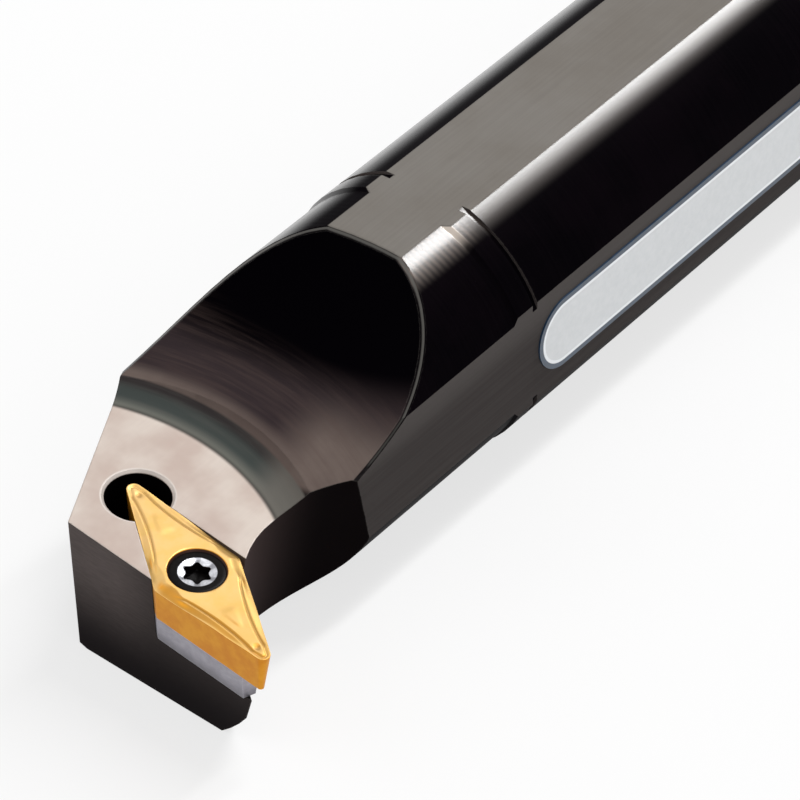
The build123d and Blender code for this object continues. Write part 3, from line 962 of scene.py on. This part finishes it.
# %% [markdown]
# Both screws are dark, oiled steel. On the insert screw's head the key has polished a ring round
# the socket, which is a mask of distance and depth. Its brightness changes six times in a turn,
# as the lobes do, so it follows the sine of six times the angle round the axis.

# %% Screw steel
bright_steel = Finish("screw_steel", Specular_IOR_Level=0.06)
place = bright_steel.millimetres()
shine = bright_steel.noise(place, 3.0, 3.0, 0.6)
fine = bright_steel.noise(place, 14.0, 2.0, 0.6)
from_screw = bright_steel.away_from(place, INSERT_CENTRE)
screw_x, screw_y, screw_z = (bright_steel.along(from_screw, axis)
                             for axis in (HEAD_X, HEAD_Y, HEAD_Z))
reach = bright_steel.node("VectorMath", {"operation": "LENGTH"}, {0: from_screw}, "Value")
worn_ring = reach.under(2.02, 2.08) * screw_z.over(-0.46, -0.42)
star = ((screw_y.turn(screw_x) - LONG) * 6 - math.pi / 2).sine()
polished = bright_steel.shades(shine, ink(180, 181, 186), ink(206, 207, 212))
polished = bright_steel.blend(star.over(0.1, 0.9) * 0.7, polished, ink(112, 112, 118))
dark = bright_steel.shades(shine, ink(8, 6, 6), ink(16, 13, 12))
bright_steel.feed(Base_Color=bright_steel.blend(worn_ring, dark, polished),
                  Metallic=0.85 * worn_ring, Roughness=0.3 + 0.14 * shine,
                  Normal=bright_steel.bump(fine, GRAIN_DEPTH,
                                           bright_steel.soft_normal(SMALL_EDGE)))
print("screw steel has", len(bright_steel.tree.nodes), "nodes")

# %% Build the screws
insert_screw = skin("insert_screw_threaded", screw_grid(), False, bright_steel.material)
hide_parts("insert_screw")
shim_screw = skin("shim_screw_threaded", sleeve_grid(), True, bright_steel.material)
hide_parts("shim_screw")
for piece in (insert_screw, shim_screw):
    print(piece.name, len(piece.data.polygons), "faces,", round(volume(piece), 1), "cubic mm")

# %% [markdown]
# ## Shim
#
# The shim is a hard carbide plate that the insert sits on, ground on all sides and left uncoated.
# Its solid is already right, so it keeps its mesh and gets the cool grey of bare carbide, with
# the grinding wheel's fine lines along each side, a painted shade that darkens its lower part and
# a painted highlight along its edges.

# %% Shim carbide
SHIM_EDGE, LINE_DEPTH = 0.0001, 0.000004
carbide = Finish("ground_carbide", Metallic=0.45, Specular_IOR_Level=0.5)
grit = carbide.millimetres()
lines = carbide.noise(carbide.stretch(grit, 0.15, 0.15, 1.0), 7.0, 3.0, 0.65)
patches = carbide.noise(grit, 0.8, 3.0, 0.6)
carbide_round = carbide.soft_normal(SHIM_EDGE)
carbide_flat = carbide.along(carbide_round, carbide.normal())
carbide_z = carbide.along(carbide.away_from(grit, HEAD_ORIGIN), HEAD_Z)
carbide_colour = carbide.shades(patches, ink(150, 146, 154), ink(168, 164, 172))
carbide_colour = carbide.blend(lines.over(0.3, 0.7) * 0.4, carbide_colour, ink(138, 139, 152))
# Painted shade: the shim darkens towards the bottom.
carbide_colour = carbide.blend(carbide_z.under(-7.9, -6.0) * 0.6, carbide_colour, ink(84, 82, 88))
# Painted highlight along the shim's edges.
carbide_colour = carbide.blend(carbide_flat.under(0.93, 0.998) * 0.5, carbide_colour,
                               ink(196, 196, 206))
carbide.feed(Base_Color=carbide_colour, Roughness=0.38 + 0.15 * lines,
             Normal=carbide.bump(lines, LINE_DEPTH, carbide_round))
dress("shim", carbide.material)
print("shim dressed,", len(carbide.tree.nodes), "nodes")

# %% [markdown]
# ## Label
#
# A long label with rounded ends is stuck on the tip-side flat. It is printed film: a blue border,
# a thin white line inside it and a pale field, left bare here. The border follows the label's
# outline, which is everything at one distance from a straight centre line, so that distance is all
# the pattern needs.

# %% Label film
LABEL_LENGTH, LABEL_HEIGHT, LABEL_SETBACK = 90, 9, 55.4
LABEL_MIDDLE = BAR_LENGTH - LABEL_SETBACK - LABEL_LENGTH / 2
HALF_LINE = (LABEL_LENGTH - LABEL_HEIGHT) / 2
WAVE_DEPTH = 0.00004
film = Finish("label_film", Specular_IOR_Level=0.5, Coat_Weight=0.4, Coat_Roughness=0.15)
where = film.millimetres()
film_x, _, film_z = film.parts(where)
past_end = ((film_x - LABEL_MIDDLE).size() - HALF_LINE).most(0)
from_line = distance(past_end, film_z - AXIS_HEIGHT)
fibre = film.noise(where, 1.2, 3.0, 0.6)
wave = film.noise(where, 0.12, 2.0, 0.5)
field = film.blend(fibre.over(0.2, 0.8), ink(212, 215, 217), ink(220, 222, 224))
blue = film.shades(fibre, ink(18, 44, 66), ink(26, 54, 80))
film_colour = film.blend(from_line.over(3.45, 3.55), field, ink(240, 243, 246))
film_colour = film.blend(from_line.over(3.82, 3.92), film_colour, blue)
film.feed(Base_Color=film_colour, Roughness=0.32 + 0.1 * fibre,
          Normal=film.bump(wave, WAVE_DEPTH, film.normal()))
dress("label", film.material)
print("label dressed, its centre line runs", HALF_LINE, "mm each way from x =", LABEL_MIDDLE)
